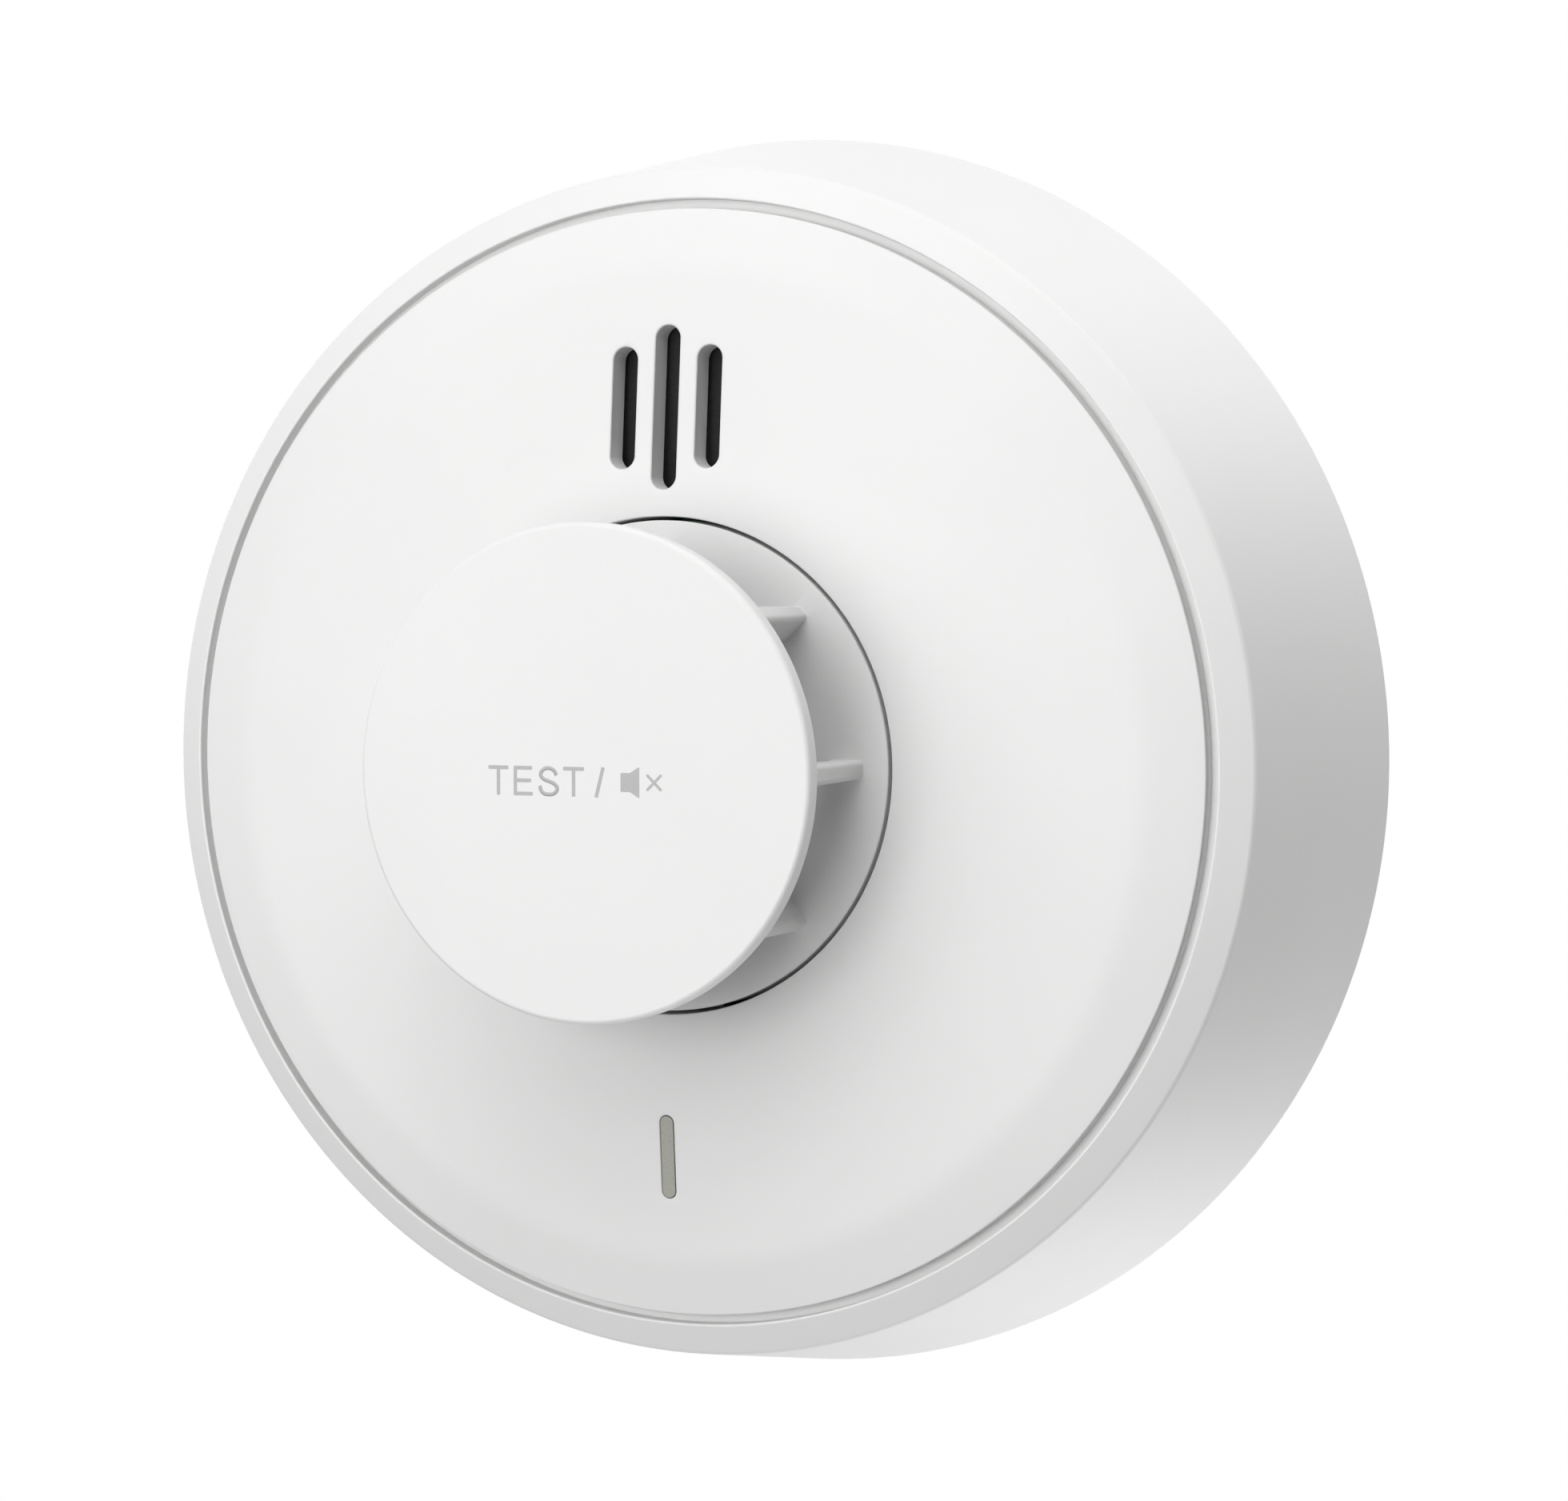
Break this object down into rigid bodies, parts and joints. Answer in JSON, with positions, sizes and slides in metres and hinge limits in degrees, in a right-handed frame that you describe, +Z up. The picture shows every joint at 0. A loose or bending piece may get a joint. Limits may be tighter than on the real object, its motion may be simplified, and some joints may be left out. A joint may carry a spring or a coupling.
{
  "type": "smoke detector",
  "caption": "Round wall or ceiling smoke alarm: tapered drum, shallow cover with sounder slots, raised disc button on radial vanes, twist-off mounting plate.",
  "frame": {"origin": "centre of the mounting plate's back face, midway between its two screw slots and level with the wall", "axes": "-Y out of the wall towards the room, +Z up, +X to the right seen from the room"},
  "size_m": [0.1038, 0.0408, 0.1038],
  "materials": {
    "housing_white": "fine spark-eroded grain",
    "plate_white": "satin moulded plastic",
    "chamber_black": "matt, light-absorbing",
    "switch_black": "moulded",
    "screen_steel": "etched stainless sheet",
    "screw_steel": "zinc-plated steel",
    "spring_steel": "music wire",
    "tab_nickel": "rolled nickel strip",
    "board_green": "solder mask",
    "chip_black": "moulded resin",
    "ferrite_grey": "sintered ferrite",
    "can_aluminium": "drawn can",
    "chip_ceramic": "fired ceramic",
    "cell_sleeve": "steel can in a shrink sleeve",
    "disc_brass": "rolled brass",
    "wafer_ceramic": "silvered ceramic",
    "cup_plastic": "moulded plastic",
    "gauze_black": "woven polyester gauze",
    "gasket_foam": "closed-cell foam",
    "pipe_clear": "smoke-tinted clear plastic",
    "print_grey": "pad-printed marking, a few hundredths of a millimetre thick",
    "led_yellow": "phosphor-filled resin",
    "emitter_resin": "tinted resin",
    "diode_resin": "infrared-pass resin"
  },
  "bodies": {
    "base": {"mounting_plate": "plate_white"},
    "button": {"button_cap": "housing_white", "vane_ring": "housing_white"},
    "plunger": {"switch_plunger": "switch_black"},
    "head": {"rear_cover": "plate_white", "outer_housing": "housing_white", "front_cover": "housing_white", "housing_screws": "screw_steel", "board_screws": "screw_steel", "battery_cell": "cell_sleeve", "battery_tabs": "tab_nickel", "chamber_base": "chamber_black", "labyrinth": "chamber_black", "insect_screen": "screen_steel", "infrared_emitter": "emitter_resin", "photodiode": "diode_resin", "circuit_board": "board_green", "microcontroller": "chip_black", "boost_inductor": "ferrite_grey", "storage_capacitor": "can_aluminium", "chip_capacitors": "chip_ceramic", "sounder_cup": "cup_plastic", "sounder_disc": "disc_brass", "sounder_wafer": "wafer_ceramic", "sounder_contacts": "spring_steel", "sounder_gasket": "gasket_foam", "slot_gauze": "gauze_black", "light_pipe": "pipe_clear", "indicator_led": "led_yellow", "switch_body": "switch_black", "return_springs": "spring_steel"}
  },
  "joints": [
    {"name": "twist_lock", "type": "hinge", "parent": "base", "child": "head", "pos_m": [0, 0, 0], "axis": [0, -1, 0], "range_deg": [0, 15]},
    {"name": "button_press", "type": "slide", "parent": "head", "child": "button", "axis": [0, 1, 0], "range_m": [0, 0.0005], "stiffness_N_per_m": 3000, "deforming": ["return_springs"]},
    {"name": "switch_press", "type": "slide", "parent": "head", "child": "plunger", "axis": [0, 1, 0], "range_m": [0, 0.0005]}
  ],
  "couplings": [
    {"joint": "switch_press", "follows": "button_press", "ratio": 1}
  ]
}
